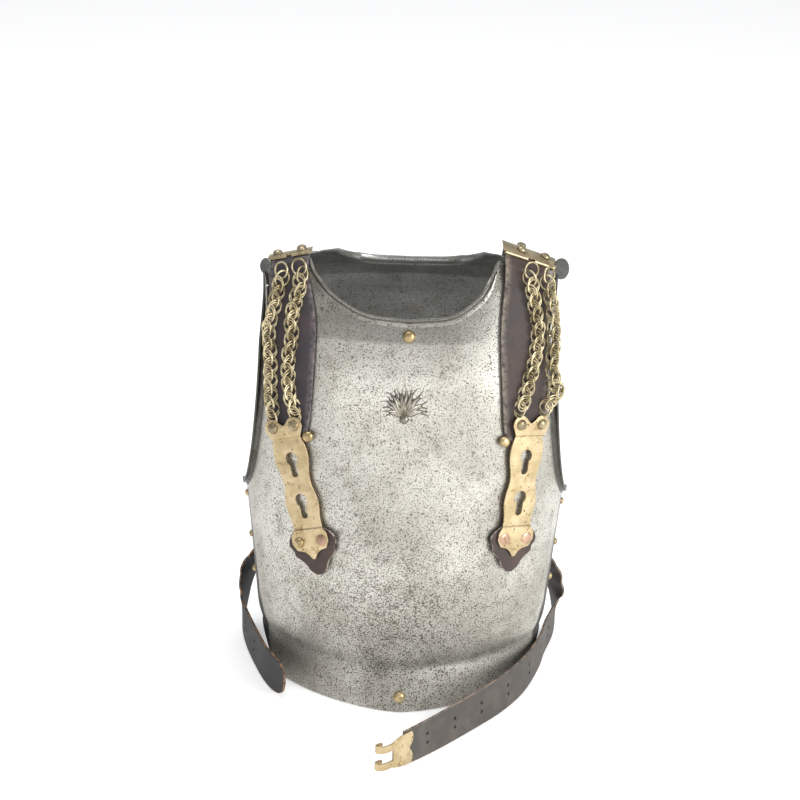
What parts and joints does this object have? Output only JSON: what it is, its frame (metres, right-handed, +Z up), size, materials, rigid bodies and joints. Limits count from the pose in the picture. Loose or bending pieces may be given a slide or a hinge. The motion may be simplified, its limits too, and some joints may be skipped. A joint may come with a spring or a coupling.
{
  "type": "cuirass",
  "caption": "Steel breastplate and backplate standing on their rims, with brass-mounted shoulder straps, chains, keyhole clasps and an undone waist belt.",
  "frame": {"origin": "middle of the bounding box at its base, where the rims of both plates stand", "axes": "-Y is the front of the breastplate, +Z is up along the wearer's body, +X is the wearer's left side"},
  "size_m": [0.3402, 0.4176, 0.4534],
  "materials": {
    "steel": "worn bare steel with dark pitting and light rust",
    "brass": "aged dull brass, stained and pitted",
    "badge_steel": "cast white metal, dark in the hollows and worn bright on the crests",
    "brass_rivet": "darkened domed brass",
    "chain_brass": "drawn brass wire, bright on the crests",
    "copper": "flat copper washer, dull",
    "iron": "grey worn iron",
    "dark_leather": "dark purplish leather, scuffed",
    "brown_leather": "dark brown leather with light worn edges",
    "belt_leather": "grey-brown leather, dry and creased",
    "black_leather": "near-black leather with a tan cut edge",
    "tab_leather": "brown leather, worn"
  },
  "bodies": {
    "root": {"breastplate": "steel", "backplate": "steel", "neck_rivet": "brass_rivet", "hem_rivet": "brass_rivet", "side_rivet_l1": "brass_rivet", "side_rivet_l2": "brass_rivet", "side_rivet_l3": "brass_rivet", "keyhole_stud_l": "brass_rivet", "side_rivet_r1": "brass_rivet", "side_rivet_r2": "brass_rivet", "side_rivet_r3": "brass_rivet", "keyhole_stud_r": "brass_rivet", "grenade_badge": "badge_steel", "keyhole_clasp_l": "brass", "pull_tab_l": "tab_leather", "lobe_rivet_l_outer": "brass_rivet", "tail_rivet_l_outer": "brass_rivet", "lobe_rivet_l_inner": "brass_rivet", "tail_rivet_l_inner": "copper", "keyhole_clasp_r": "brass", "pull_tab_r": "tab_leather", "lobe_rivet_r_outer": "brass_rivet", "tail_rivet_r_outer": "copper", "lobe_rivet_r_inner": "brass_rivet", "tail_rivet_r_inner": "copper", "shoulder_leather_l": "dark_leather", "anchor_plate_l": "brass", "anchor_rivet_l1": "brass_rivet", "anchor_rivet_l2": "brass_rivet", "anchor_rivet_l3": "brass_rivet", "shoulder_disc_l": "iron", "shoulder_leather_r": "brown_leather", "anchor_plate_r": "brass", "anchor_rivet_r1": "brass_rivet", "anchor_rivet_r2": "brass_rivet", "anchor_rivet_r3": "brass_rivet", "shoulder_disc_r": "iron", "chain_l_outer": "chain_brass", "chain_l_inner": "chain_brass", "chain_r_inner": "chain_brass", "chain_r_outer": "chain_brass", "waist_strap_l": "black_leather", "waist_strap_r": "belt_leather", "belt_rivet_l": "brass_rivet", "belt_rivet_r": "brass_rivet", "hook_plate": "brass"}
  },
  "joints": []
}
